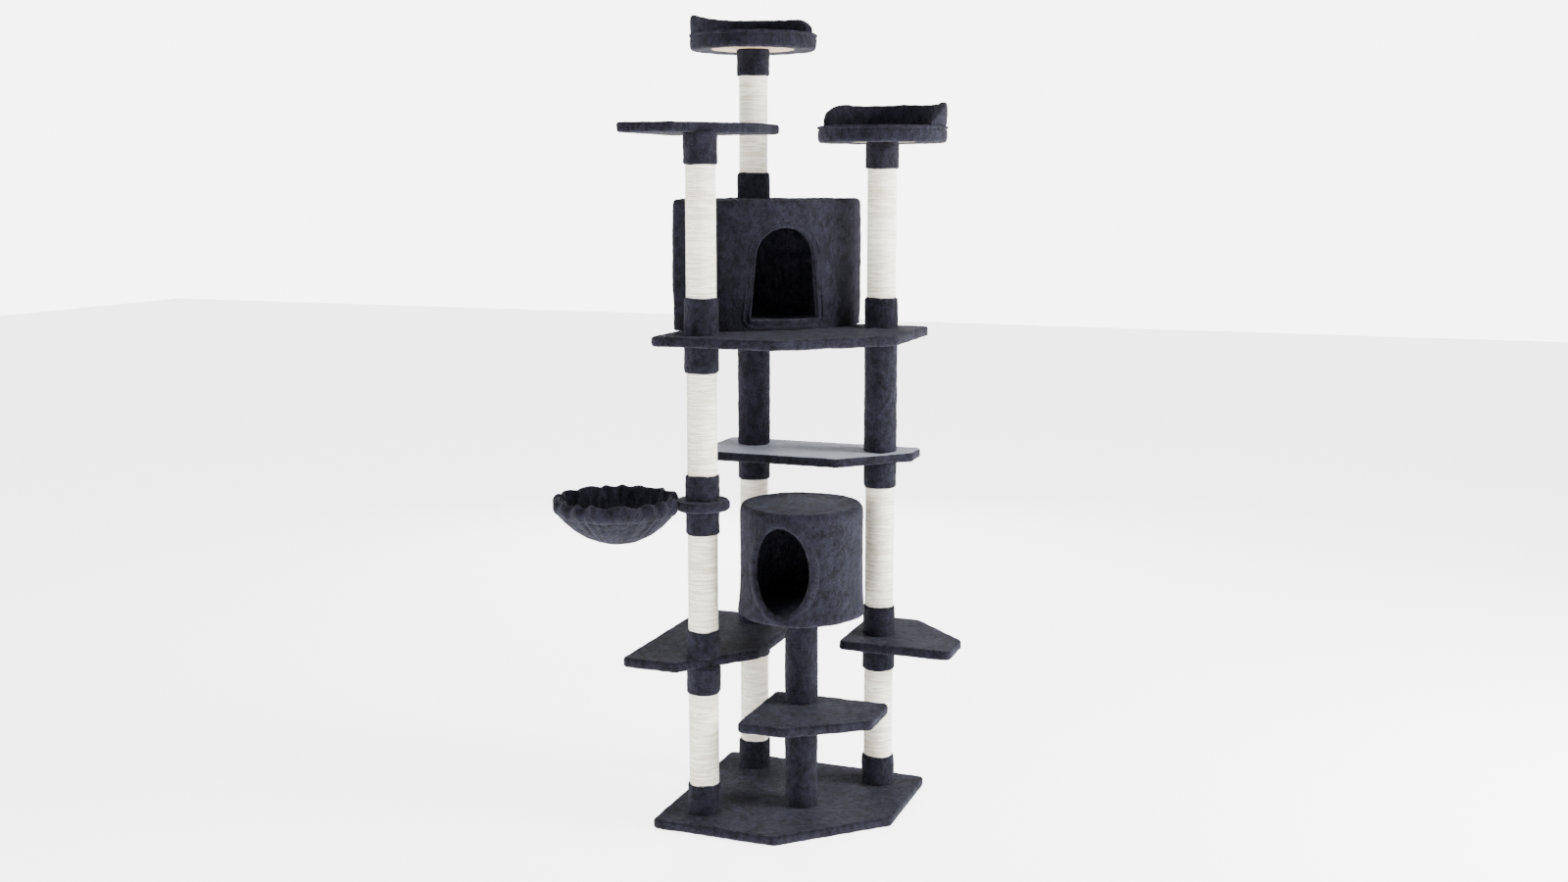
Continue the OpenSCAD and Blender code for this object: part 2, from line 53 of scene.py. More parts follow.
# %% [markdown]
# ## Camera
# A camera at eye height, about four fifths of the way up the tree, turned so that it sees the
# front and the right side. A camera could also be aimed with a constraint, but plain angles
# are easier to read and never change.

# %% Camera
camera = bpy.data.objects.new("camera", bpy.data.cameras.new("camera"))
camera.location = (1.3895, -3.8053, 1.6176)
camera.rotation_euler = (math.radians(90 - 7.56), 0, math.radians(20.38))
camera.data.sensor_width = 36
camera.data.lens = 37.35
camera.data.shift_y = -0.03
bpy.context.scene.collection.objects.link(camera)
bpy.context.scene.camera = camera
print("camera at", tuple(camera.location))

# %% [markdown]
# ## Floor, sky and lamps
# A studio sweep would be a curved sheet of paper. A wide pale floor under an even pale sky
# gives the same look from every side, so that is used here. Three large soft lamps stand round
# the tree, about two metres up. Plush shows its pile best where light grazes it, so the
# strongest lamp stands at the right side and not in front.


# %% Floor, sky and lamps
def lamp(name, place, aim, size, power):
    made = bpy.data.objects.new(name, bpy.data.lights.new(name, "AREA"))
    made.data.size = size
    made.data.energy = power
    made.location = place
    made.rotation_euler = (Vector(aim) - Vector(place)).to_track_quat("-Z", "Y").to_euler()
    bpy.context.scene.collection.objects.link(made)


floor_mesh = bpy.data.meshes.new("floor")
FLOOR_HALF = 14
floor_mesh.from_pydata(
    [(x * FLOOR_HALF, y * FLOOR_HALF, 0) for x, y in ((-1, -1), (1, -1), (1, 1), (-1, 1))],
    [],
    [(0, 1, 2, 3)],
)
studio_floor = bpy.data.objects.new("studio_floor", floor_mesh)
bpy.context.scene.collection.objects.link(studio_floor)

SKY_LIGHT, SKY_SEEN = 0.55, 6.6
sky = bpy.data.worlds.new("studio_sky")
sky.use_nodes = True
sky_nodes, sky_links = sky.node_tree.nodes, sky.node_tree.links
seen = sky_nodes.new("ShaderNodeLightPath").outputs["Is Camera Ray"]
glow = sky_nodes.new("ShaderNodeMapRange")
glow.inputs["To Min"].default_value, glow.inputs["To Max"].default_value = SKY_LIGHT, SKY_SEEN
sky_links.new(seen, glow.inputs["Value"])
sky_links.new(glow.outputs["Result"], sky_nodes["Background"].inputs["Strength"])
sky_nodes["Background"].inputs["Color"].default_value = (1, 1, 1, 1)
bpy.context.scene.world = sky

lamp("key_lamp", (-1.6, -4.4, 1.9), (0, 0, 1.0), 1.8, 215)
lamp("rim_lamp", (3.5, 0.5, 2.1), (0, 0, 1.0), 1.6, 480)
lamp("back_lamp", (-1.5, 3.4, 1.9), (0, 0, 1.0), 1.6, 150)

# %% [markdown]
# ## Writing materials as sums
# A material is a graph of nodes. Wiring it by hand takes many lines, so `Wire` wraps one output
# socket and lets ordinary arithmetic add the Math nodes. `Finish` is one material, and its
# method `node` adds any node. Its other methods are short names for what is done often.


# %% Material tools
class Wire:
    """One output socket of a finish, to do sums with."""

    def __init__(self, finish, socket):
        self.finish, self.socket = finish, socket

    def sum(self, operation, *values):
        return self.finish.node(
            "ShaderNodeMath", {"operation": operation}, dict(enumerate(values))
        )

    def __add__(self, other):
        return self.sum("ADD", self, other)

    def __rsub__(self, other):
        return self.sum("SUBTRACT", other, self)

    def __mul__(self, other):
        return self.sum("MULTIPLY", self, other)

    __radd__ = __add__
    __rmul__ = __mul__

    def sine(self):
        return self.sum("SINE", self)

    def between(self, low, high):
        """0 at low, 1 at high, clamped."""
        return self.finish.node(
            "ShaderNodeMapRange",
            {"interpolation_type": "SMOOTHSTEP"},
            {"Value": self, "From Min": low, "From Max": high},
        )


class Finish:
    """A material of the tree."""

    def __init__(self, name, **settings):
        self.material = bpy.data.materials.new(name)
        self.material.use_nodes = True
        self.tree = self.material.node_tree
        self.shader = self.tree.nodes["Principled BSDF"]
        for socket, value in settings.items():
            self.shader.inputs[socket.replace("_", " ")].default_value = value
        self.place = self.node("ShaderNodeTexCoord", out="Object")

    def node(self, kind, settings=(), sockets=(), out=0):
        made = self.tree.nodes.new(kind)
        for key, value in dict(settings).items():
            setattr(made, key, value)
        for key, value in dict(sockets).items():
            if isinstance(value, Wire):
                self.tree.links.new(value.socket, made.inputs[key])
            else:
                made.inputs[key].default_value = value
        return Wire(self, made.outputs[out])

    def noise(self, scale, detail=2.0, rough=0.5, place=None, twist=0.0):
        return self.node(
            "ShaderNodeTexNoise",
            {},
            {
                "Vector": place or self.place,
                "Scale": scale,
                "Detail": detail,
                "Roughness": rough,
                "Distortion": twist,
            },
        )

    def stretched(self, scale):
        return self.node(
            "ShaderNodeVectorMath", {"operation": "MULTIPLY"}, {0: self.place, 1: scale}
        )

    def blend(self, share, dark, light):
        """A colour between two, by a share from 0 to 1."""
        return self.node(
            "ShaderNodeMix",
            {"data_type": "RGBA"},
            {0: share, 6: dark if isinstance(dark, Wire) else (*dark, 1),
             7: light if isinstance(light, Wire) else (*light, 1)},
            out=2,
        )

    def feed(self, socket, value):
        self.tree.links.new(value.socket, self.shader.inputs[socket])

    def relief(self, height, depth, strength=1.0):
        bump = self.node(
            "ShaderNodeBump", {}, {"Height": height, "Distance": depth, "Strength": strength}
        )
        self.feed("Normal", bump)


# %% [markdown]
# ## Plush
# The plush is a short dense pile. Hair strands could make it, but there would be millions, and
# at arm's length the eye sees other things: brushed patches and strokes where the nap leans
# another way, small tufts, and a pale bloom where the surface turns away. So the finish mixes
# two shaders by noise at four sizes: pile that stands up, which is paler and has more sheen, and
# pile that lies flat. The middle board's top looks much paler than the rest, where light grazes
# it from behind. That light is painted: its upper side gets a paler colour and more standing pile.


# %% Plush finish
SHEEN_TINT = (0.70, 0.73, 1.0, 1)
LYING_BLOOM = 0.35
PAINTED_TOP_LIGHT_SHARE = 0.8
PILE_DEPTH = 2.8 * MM


def plush_finish(name, deep, bright, bloom, top=None):
    """Two piles mixed by noise. With top, surfaces that face up take that colour and more standing pile: a
    painted top light.
    """
    pile_settings = {"Roughness": 0.92, "Sheen Roughness": 0.30, "Specular IOR Level": 0.12}
    made = Finish(name)
    standing_pile = {"Base Color": (*bright, 1), "Sheen Weight": bloom, "Sheen Tint": SHEEN_TINT}
    for socket, value in {**pile_settings, **standing_pile}.items():
        made.shader.inputs[socket].default_value = value
    brushed = made.noise(26, 5, 0.66, twist=0.8).between(0.34, 0.70)
    strokes = made.noise(70, 4, 0.62, place=made.stretched((1.0, 1.25, 0.7)), twist=0.3)
    strokes = strokes.between(0.3, 0.72)
    tufts = made.noise(260, 2, 0.55)
    pile = made.noise(900, 1, 0.6)
    standing_and_top_light = brushed * 0.13 + strokes * 0.15 + tufts * 0.38 + pile * 0.34
    standing_and_top_light = standing_and_top_light.between(0.28, 0.68)
    # Painted light: faces that point up get the paler top colour and more of the sheeny standing pile.
    if top:
        true_normal = made.node("ShaderNodeNewGeometry", out=1)
        upper = made.node("ShaderNodeSeparateXYZ", {}, {0: true_normal}, out=2).between(0.55, 0.95)
        made.feed("Base Color", made.blend(upper, bright, top))
        standing_and_top_light = standing_and_top_light + upper * (1 - standing_and_top_light) * PAINTED_TOP_LIGHT_SHARE
    lying_pile = {"Base Color": (*deep, 1), "Sheen Weight": bloom * LYING_BLOOM}
    lying = made.node("ShaderNodeBsdfPrincipled", {}, {**pile_settings, **lying_pile})
    height = pile * 0.9 + tufts * 1.1 + strokes * 0.6
    bump_settings = {"Height": height, "Distance": PILE_DEPTH, "Strength": 1.0}
    bump = made.node("ShaderNodeBump", {}, bump_settings)
    made.feed("Normal", bump)
    made.tree.links.new(bump.socket, lying.socket.node.inputs["Normal"])
    upright = Wire(made, made.shader.outputs[0])
    both = made.node("ShaderNodeMixShader", {}, {0: standing_and_top_light, 1: lying, 2: upright})
    made.tree.links.new(both.socket, made.tree.nodes["Material Output"].inputs["Surface"])
    return made.material


DARK_PILE, LIT_PILE = (0.0009, 0.0009, 0.0018), (0.0135, 0.0132, 0.0225)
# Painted light: a pale colour for the middle board's upward faces, standing in for light that grazes its top
# from behind.
PAINTED_TOP_LIGHT = (0.30, 0.31, 0.36)
plush = plush_finish("charcoal_plush", DARK_PILE, LIT_PILE, 0.12)
plush_with_painted_top_light = plush_finish("charcoal_plush_painted_top_light", DARK_PILE, LIT_PILE, 0.12, PAINTED_TOP_LIGHT)
lining_plush = plush_finish("shaded_plush_lining", (0.008, 0.008, 0.014), (0.05, 0.05, 0.07), 0.06)
print("plush finishes ready")

# %% [markdown]
# ## Sisal, chipboard, card and steel
# Sisal is pale fibre rope. The wraps themselves are real geometry further down. The finish
# adds the twist of the strands, bands of colour, stray fibres and dark flecks.
# The other three are hidden or nearly so: pressed chips, brown tube card and zinc.


# %% Sisal and hidden finishes
def sisal_finish():
    made = Finish("wound_sisal", Roughness=0.86, Sheen_Weight=0.12, Sheen_Roughness=0.5)
    x = made.node("ShaderNodeSeparateXYZ", {}, {0: made.place})
    y = made.node("ShaderNodeSeparateXYZ", {}, {0: made.place}, out=1)
    height = made.node("ShaderNodeSeparateXYZ", {}, {0: made.place}, out=2)
    angle = made.node("ShaderNodeMath", {"operation": "ARCTAN2"}, {0: y, 1: x})
    twist = (angle * 26 + height * 1150).sine()
    wraps = made.noise(150, 2, 0.5, place=made.stretched((0.12, 0.12, 1.6)))
    patches = made.noise(11, 3, 0.55)
    fibres = made.noise(520, 3, 0.65, place=made.stretched((1.0, 1.0, 2.4)))
    fleck = made.noise(210, 2, 0.5, place=made.stretched((0.6, 0.6, 2.0))).between(0.66, 0.72)
    tone = wraps.between(0.3, 0.72) * 0.5 + patches * 0.25 + fibres * 0.25
    straw = made.blend(tone.between(0.2, 0.8), (0.55, 0.48, 0.36), (0.90, 0.86, 0.77))
    twisted = made.blend(twist.between(-1.3, 1.2) * 0.4, straw, (0.93, 0.90, 0.81))
    made.feed("Base Color", made.blend(fleck * 0.75, twisted, (0.16, 0.105, 0.06)))
    made.relief(twist * 0.35 + fibres * 0.9, 0.0009, 0.7)
    return made.material


def chipboard_finish():
    made = Finish("chipboard", Roughness=0.8)
    chips = made.node("ShaderNodeTexVoronoi", {}, {"Vector": made.place, "Scale": 260}, out=1)
    shade = made.node("ShaderNodeSeparateXYZ", {}, {0: chips})
    dust = made.noise(700, 2)
    made.feed("Base Color", made.blend(shade * 0.7 + dust * 0.3, (0.42, 0.29, 0.16), (0.68, 0.53, 0.34)))
    made.relief(dust, 0.0006, 0.5)
    return made.material


def card_finish():
    made = Finish("tube_card", Roughness=0.85)
    pulp = made.noise(300, 3, place=made.stretched((1, 1, 0.3)))
    made.feed("Base Color", made.blend(pulp, (0.25, 0.18, 0.11), (0.42, 0.32, 0.21)))
    made.relief(pulp, 0.0004, 0.4)
    return made.material


def zinc_finish():
    made = Finish("zinc_steel", Metallic=1.0)
    drawn = made.noise(420, 3, place=made.stretched((1, 1, 0.2)))
    made.feed("Base Color", made.blend(drawn, (0.42, 0.42, 0.44), (0.66, 0.66, 0.68)))
    made.feed("Roughness", drawn * 0.2 + 0.28)
    return made.material


def floor_finish():
    made = Finish("studio_floor_paint", Roughness=0.9, Emission_Strength=3.7)
    made.shader.inputs["Emission Color"].default_value = (1, 1, 1, 1)
    made.feed("Base Color", made.blend(made.noise(3, 2), (0.86, 0.86, 0.87), (0.90, 0.90, 0.90)))
    return made.material


sisal = sisal_finish()
HIDDEN_FINISHES = {
    "board": chipboard_finish(),
    "cardboard": card_finish(),
    "steel": zinc_finish(),
}
studio_floor.data.materials.append(floor_finish())

for name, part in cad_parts.items():
    kind = "board"
    if name.endswith("_tubes") or name.endswith("_wall"):
        kind = "cardboard"
    elif name in ("post_studs", "board_bolts", "hammock_hoop"):
        kind = "steel"
    part.data.materials.clear()
    part.data.materials.append(HIDDEN_FINISHES[kind])
print("hidden parts finished")

# %% [markdown]
# ## Skins from stacks of rings
# Nearly every covered part is convex in plan: a board with one corner cut off, a disc, a tube,
# a quarter-round house. Such a shape is a stack of closed rings joined by a skin, and the rings
# can follow soft edges, seams and bulges exactly. Sculpting or remeshing a box would also round
# it, but would lose the seams.


# %% Ring skins
def solid(name, points, faces, finish, body="frame", slot="plush"):
    mesh = bpy.data.meshes.new(name)
    mesh.from_pydata([tuple(p) for p in points], [], faces)
    mesh.validate()
    mesh.shade_smooth()
    mesh.materials.append(finish)
    made = bpy.data.objects.new(name, mesh)
    bpy.context.scene.collection.objects.link(made)
    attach(made, body)
    return made


def skin(rings, cap_first=True, cap_last=True):
    """Points and faces of a stack of rings, closed at either end with a fan."""
    n = len(rings[0])
    points = np.concatenate(rings)
    faces = [
        (a + i, a + (i + 1) % n, a + n + (i + 1) % n, a + n + i)
        for a in range(0, n * (len(rings) - 1), n)
        for i in range(n)
    ]
    for wanted, ring, start, turn in (
        (cap_first, rings[0], 0, -1),
        (cap_last, rings[-1], n * (len(rings) - 1), 1),
    ):
        if wanted:
            points = np.vstack([points, ring.mean(0)])
            tip = len(points) - 1
            faces += [
                (start + i, start + (i + 1) % n, tip)[::turn] for i in range(n)
            ]
    return points, faces


def plan_of(node, step=6 * MM):
    """The outline of a node's top face, evenly spaced, anticlockwise."""
    co = np.array([v.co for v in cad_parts[node].data.vertices])
    top = co[co[:, 2] > co[:, 2].max() - 0.5 * MM][:, :2]
    top = sorted(set(map(tuple, np.round(top, 6))))
    hull = []
    for way in (top, top[::-1]):
        part = []
        for p in way:
            while len(part) > 1 and cross(part[-2], part[-1], p) <= 1e-9:
                part.pop()
            part.append(p)
        hull += part[:-1]
    return evenly(np.array(hull), step)


def cross(a, b, c):
    return (b[0] - a[0]) * (c[1] - a[1]) - (b[1] - a[1]) * (c[0] - a[0])


def evenly(loop, step):
    closed = np.vstack([loop, loop[:1]])
    length = np.concatenate([[0], np.cumsum(np.linalg.norm(np.diff(closed, axis=0), axis=1))])
    at = np.linspace(0, length[-1], int(length[-1] / step) + 1)[:-1]
    return np.stack([np.interp(at, length, closed[:, k]) for k in range(closed.shape[1])], 1)


def inwards(loop, t):
    """A plan outline moved inwards by t."""
    along = np.roll(loop, -1, 0) - np.roll(loop, 1, 0)
    along /= np.linalg.norm(along, axis=1)[:, None]
    return loop + t * np.stack([-along[:, 1], along[:, 0]], 1)


def level(loop, z):
    return np.column_stack([loop, np.full(len(loop), z)])


def grain(points, size, seed):
    """Smooth noise from -1 to 1 at each point, with lumps about size across."""
    shift = Vector((seed * 3.7, seed * 1.3, seed * 7.1))
    return np.array([noise.noise(Vector(p) / size + shift) for p in points])


def ruffle(made, *layers, seed=1):
    """Moves each point along its normal by noise: layers are (lump size, height)."""
    mesh = made.data
    co = np.zeros(len(mesh.vertices) * 3)
    mesh.vertices.foreach_get("co", co)
    co = co.reshape(-1, 3)
    normals = np.array([v.normal for v in mesh.vertices])
    for k, (size, height) in enumerate(layers):
        co += normals * (grain(co, size, seed + k) * height)[:, None]
    mesh.vertices.foreach_set("co", co.ravel())
    mesh.update()


PILE = ((34 * MM, 1.1 * MM), (11 * MM, 0.7 * MM), (5 * MM, 0.45 * MM))


# %% [markdown]
# ## Covered boards
# Each board is a sheet of chipboard with plush pulled tight over it and glued. Its edges are
# rounded, and its faces are flat but for the small lumps of the pile. The outline comes from
# the frame's own solid, so the cut corner is where the board's is.


# %% Covered boards
def board_rings(plan, z0, z1, soft=7 * MM, spacing=9 * MM):
    middle = plan.mean(0)
    inner = inwards(plan, 10 * MM)
    reach = np.linalg.norm(inner - middle, axis=1).max()
    shares = np.linspace(1, 0, int(reach / spacing) + 1)[1:-1]
    rings = [level(middle + (inner - middle) * s, z0) for s in shares[::-4]]
    turns = np.linspace(0, math.pi / 2, 5)
    rings += [level(inwards(plan, soft * (1 - math.sin(a))), z0 + soft * (1 - math.cos(a))) for a in turns]
    rings += [level(plan, z) for z in np.linspace(z0 + soft, z1 - soft, 4)[1:-1]]
    rings += [level(inwards(plan, soft * (1 - math.cos(a))), z1 - soft * (1 - math.sin(a))) for a in turns]
    rings += [level(inner, z1)]
    rings += [level(middle + (inner - middle) * s, z1) for s in shares]
    return rings


for seed, board in enumerate(("base", "step", "low_left", "low_right", "middle", "deck", "top_left")):
    low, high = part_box(board + "_cover")
    points, faces = skin(board_rings(plan_of(board + "_cover"), low.z, high.z))
    # The middle board's plush carries the painted top light.
    cover = solid(board + "_plush", points, faces, plush_with_painted_top_light if board == "middle" else plush)
    ruffle(cover, *PILE, seed=10 * seed)
    for corner in cover.data.vertices:
        corner.co.z = max(corner.co.z, 0)
    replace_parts(cover, board + "_cover")
    print(cover.name, len(points), "points")

# %% [markdown]
# ## Wound posts
# Sisal rope is wound tightly up a cardboard tube, side by side, from one plush collar to the
# next. A curve with a round section would be heavy, and most of it would be hidden, so the skin
# follows the helix: five points across each wrap, and each row meets the next wrap exactly.


# %% Wound sisal
ROPE = 5 * MM
WRAP_POINTS = 5
ROUND_POINTS = 64
HIDDEN_WRAP = 12 * MM


def winding(radius, z0, z1, seed):
    rows = int((z1 - z0) / ROPE) * WRAP_POINTS
    turn = np.arange(ROUND_POINTS) * 2 * math.pi / ROUND_POINTS
    across = np.abs(2 * (np.arange(rows) % WRAP_POINTS) / WRAP_POINTS - 1)
    round_off = 1 - np.sqrt(1 - across**2)
    k, i = np.meshgrid(np.arange(rows), np.arange(ROUND_POINTS), indexing="ij")
    z = z0 + ROPE * (k / WRAP_POINTS + i / ROUND_POINTS)
    wrap = k // WRAP_POINTS
    sag = 0.22 * MM * np.sin(turn[i] * 2 + wrap * 1.7 + seed)
    twist = 0.16 * MM * np.sin((turn[i] + wrap * 2 * math.pi) * radius / (9 * MM) + k * 1.2)
    r = radius - 2.1 * MM * round_off[k] + twist + 0.12 * MM * np.sin(wrap * 2.9 + seed)
    points = np.stack([r * np.cos(turn[i]), r * np.sin(turn[i]), z + sag], -1).reshape(-1, 3)
    faces = []
    n = ROUND_POINTS
    for row in range(rows - 1):
        for col in range(n):
            a = row * n + col
            if col < n - 1:
                faces.append((a, a + 1, a + n + 1, a + n))
            elif row + WRAP_POINTS + 1 < rows:
                b = (row + WRAP_POINTS) * n
                faces.append((a, b, b + n, a + n))
    return points, faces


def tiers(node):
    """The lowest and highest z of each ring that a node of stacked tubes holds."""
    z = sorted({round(v.co.z, 4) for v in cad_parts[node].data.vertices})
    return list(zip(z[::2], z[1::2]))


posts = {"front_left": 4, "rear_left": 3, "right": 3}
sisal_points = 0
for post, count in posts.items():
    collars = tiers(post + "_collars")
    for k in range(count):
        node = f"{post}_sisal_{k + 1}"
        low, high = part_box(node)
        radius = (high.x - low.x) / 2
        z0, z1 = collars[2 * k][1] - HIDDEN_WRAP, collars[2 * k + 1][0] + HIDDEN_WRAP - ROPE
        points, faces = winding(radius, z0, z1, seed=k + len(post))
        made = solid(f"{post}_wound_sisal_{k + 1}", points, faces, sisal, slot="sisal")
        made.location = ((low.x + high.x) / 2, (low.y + high.y) / 2, 0)
        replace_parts(made, node)
        sisal_points += len(points)
print("sisal points:", sisal_points)

# %% [markdown]
# ## Collars and sleeves
# A collar is a strip of plush wrapped once round the post over the end of the rope and glued,
# with its edges folded under. So its ends are soft and round, it bulges a little, and a butt
# seam runs down the back. A sleeve is the same strip as tall as the post.


# %% Collars and sleeves
SEAM_AT = math.radians(70)
TUBE_PLUSH_T = 5 * MM


def wrapped_tube(axis, z0, z1, r_out, r_in, seed):
    soft = 5 * MM
    height = z1 - z0
    turn = np.arange(96) * 2 * math.pi / 96
    rows = [(r_in - 1 * MM, z0 + 2 * MM), (r_in + 1.5 * MM, z0 + 0.2 * MM)]
    for a in np.linspace(0, math.pi / 2, 5):
        rows.append((r_out - soft * (1 - math.sin(a)), z0 + soft * (1 - math.cos(a))))
    for z in np.linspace(z0 + soft, z1 - soft, max(4, int(height / (6 * MM))))[1:-1]:
        rows.append((r_out, z))
    for a in np.linspace(0, math.pi / 2, 5):
        rows.append((r_out - soft * (1 - math.cos(a)), z1 - soft * (1 - math.sin(a))))
    # the folded edge closes over the end of the card tube
    rows += [(r_in + 1.5 * MM, z1 + 0.9 * MM), (r_in - 6 * MM, z1 + 1.7 * MM)]
    rows += [(r_in - 24 * MM, z1 + 1.8 * MM), (r_in - 24 * MM, z1 + 1.2 * MM), (r_in - 1 * MM, z1 - 2 * MM)]
    off = np.abs((turn - SEAM_AT + math.pi) % (2 * math.pi) - math.pi)
    dent = 2.2 * MM * np.exp(-((off * r_out / (3 * MM)) ** 2))
    swell = 0.7 * MM * np.sin(turn * 2 + seed)
    rings = []
    for r, z in rows:
        skirt = swell * math.sin(math.pi * (z - z0) / height)
        rr = r - dent + skirt
        rings.append(np.stack([axis[0] + rr * np.cos(turn), axis[1] + rr * np.sin(turn),
                               z + 0.5 * MM * np.sin(3 * turn + seed)], 1))
    rings.append(rings[0])
    return skin(rings, False, False)


def joined(parts):
    points, faces, start = [], [], 0
    for p, f in parts:
        points.append(p)
        faces += [tuple(i + start for i in face) for face in f]
        start += len(p)
    return np.concatenate(points), faces


def tube_cover(node, name, seed):
    low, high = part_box(node)
    axis = ((low.x + high.x) / 2, (low.y + high.y) / 2)
    r_out = (high.x - low.x) / 2
    parts = [
        wrapped_tube(axis, z0, z1, r_out, r_out - TUBE_PLUSH_T, seed + 1.7 * k)
        for k, (z0, z1) in enumerate(tiers(node))
    ]
    made = solid(name, *joined(parts), plush)
    ruffle(made, *PILE, seed=seed)
    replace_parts(made, node)
    print(name, len(parts), "pieces")


for seed, node in enumerate(
    ("front_left_collars", "rear_left_collars", "right_collars", "rear_left_sleeve",
     "right_sleeve", "centre_lower_sleeve", "centre_upper_sleeve")
):
    tube_cover(node, node.replace("collars", "plush_collars").replace("sleeve", "plush_sleeve"), seed + 30)

# %% [markdown]
# ## Round perches
# A perch is a round board in a tight plush cover. A welt joins the seat to the band round its
# side, and underneath the cover is turned in by about 55 mm and leaves bare board.


# %% Perch seats
PERCH_TURNS = 160


def circle_ring(axis, r, z, n=PERCH_TURNS):
    turn = np.arange(n) * 2 * math.pi / n
    r = np.broadcast_to(r, n)
    return np.stack([axis[0] + r * np.cos(turn), axis[1] + r * np.sin(turn), np.broadcast_to(z, n)], 1)


def perch_seat(name, seed):
    low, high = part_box(name + "_cover")
    axis, r = ((low.x + high.x) / 2, (low.y + high.y) / 2), (high.x - low.x) / 2
    z0, z1 = low.z, high.z
    bare = 106 * MM
    rows = [(bare - 3 * MM, z0 + 4 * MM), (bare, z0 + 0.4 * MM), (bare + 5 * MM, z0 - 1.4 * MM)]
    turned_in = np.linspace(bare + 10 * MM, r - 7 * MM, 6)
    rows += [(x, z0 - 4.2 * MM + 16 * MM * abs((x - r) / r + 0.09)) for x in turned_in]
    rows += [(r - 3 * MM, z0 - 1.6 * MM), (r - 0.8 * MM, z0 + 2 * MM), (r + 0.2 * MM, z0 + 7 * MM)]
    rows += [(r + 0.6 * MM, z) for z in np.linspace(z0 + 12 * MM, z1 - 10 * MM, 4)]
    # the welt where band and seat meet: in, out over the welt, in again
    rows += [(r - 0.2 * MM, z1 - 7 * MM), (r - 2.4 * MM, z1 - 5.2 * MM), (r + 1.0 * MM, z1 - 4.2 * MM),
             (r + 3.2 * MM, z1 - 1.6 * MM), (r + 2.4 * MM, z1 + 1.4 * MM), (r - 0.6 * MM, z1 + 2.8 * MM),
             (r - 3.6 * MM, z1 + 1.2 * MM), (r - 5.4 * MM, z1 - 1.8 * MM), (r - 8 * MM, z1 - 0.8 * MM)]
    rows += [(x, z1 - 0.3 * MM) for x in np.linspace(r - 13 * MM, 6 * MM, 18)]
    rings = [circle_ring(axis, x, z) for x, z in rows]
    made = solid(name + "_plush_seat", *skin(rings, False, True), plush)
    ruffle(made, *PILE, seed=seed)
    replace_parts(made, name + "_cover")
    return axis, r, z1


# %% [markdown]
# ## Perch backs
# The back is a foam-filled plush roll that stands on the seat's edge round a bit more than half
# of it. One end starts low and rises almost straight. The other comes down in a longer, rounded
# slope. It is a padded piece, swept round the disc with a section that grows and shrinks, and
# its top edge is never quite level.

# %% Perch backs
BACK_T = 22 * MM


def back_height(along, length, steep, gentle):
    """Share of full height at a distance from the steep end."""
    a = np.clip(along / steep, 0, 1)
    b = np.clip((length - along) / gentle, 0, 1)
    return (0.22 + 0.78 * a**0.9) * (1 - 0.06 * (1 - a)) * np.sqrt(np.clip(1 - (1 - b) ** 2.2, 0, 1))


def perch_back(name, axis, r, z, steep_at, gentle_at, seed):
    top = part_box(name + "_rim")[1].z - z
    way = 1 if gentle_at > steep_at else -1
    span = math.radians(abs(gentle_at - steep_at))
    mid = r - BACK_T / 2
    length = span * mid
    n_along = 120
    along = length * (0.5 - 0.5 * np.cos(np.linspace(0, math.pi, n_along)))
    share = back_height(along, length, 78 * MM, 100 * MM)
    wave = 0.9 * MM * np.sin(along / (31 * MM) + seed) + 0.4 * MM * np.sin(along / (6.1 * MM) + 2 * seed)
    rings = []
    n = 44
    for s, h, w in zip(along, share, wave):
        turn = math.radians(steep_at) + way * s / mid
        out = np.array([math.cos(turn), math.sin(turn), 0])
        height = max(4 * MM, top * h + w * h)
        half = (BACK_T / 2) * (0.35 + 0.65 * min(1, h * 1.6))
        ring = []
        for k in range(n):
            a = 2 * math.pi * k / n
            ca, sa = math.cos(a), math.sin(a)
            across = half * math.copysign(abs(ca) ** 0.55, ca)
            up = height / 2 * (1 + math.copysign(abs(sa) ** 0.42, sa))
            # foam swells in the middle of its height, and pinches at the seat
            swell = 1 + 0.12 * math.sin(math.pi * min(1, up / max(height, 1e-6)))
            reach = mid + across * swell - half * 0.08
            ring.append(np.array([axis[0], axis[1], z - 1 * MM + up]) + out * reach)
        ring = np.array(ring)
        rings.append(ring if way > 0 else ring[::-1])
    made = solid(name + "_padded_back", *skin(rings[::-1], True, True), plush)
    ruffle(made, (38 * MM, 1.3 * MM), (11 * MM, 0.8 * MM), (5 * MM, 0.6 * MM), seed=seed)
    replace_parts(made, name + "_rim")
    print(made.name, "length", round(length, 3), "height", round(top, 3))


perch_back("rear_perch", *perch_seat("rear_perch", 50), steep_at=233, gentle_at=34, seed=3)
perch_back("right_perch", *perch_seat("right_perch", 55), steep_at=-24, gentle_at=181, seed=5)

# %% [markdown]
# ## Doorways with a hem
# On the real houses the plush is folded round the cut edge of the card and sewn down, which
# leaves a thick soft hem. A bevel on the edge would be too thin and too sharp, so the
# hem is a strip of its own: one section is swept round the doorway and bent onto the curved
# wall. The round house has a thick roll. The corner house has a flat hem, with a ridge at each
# edge.


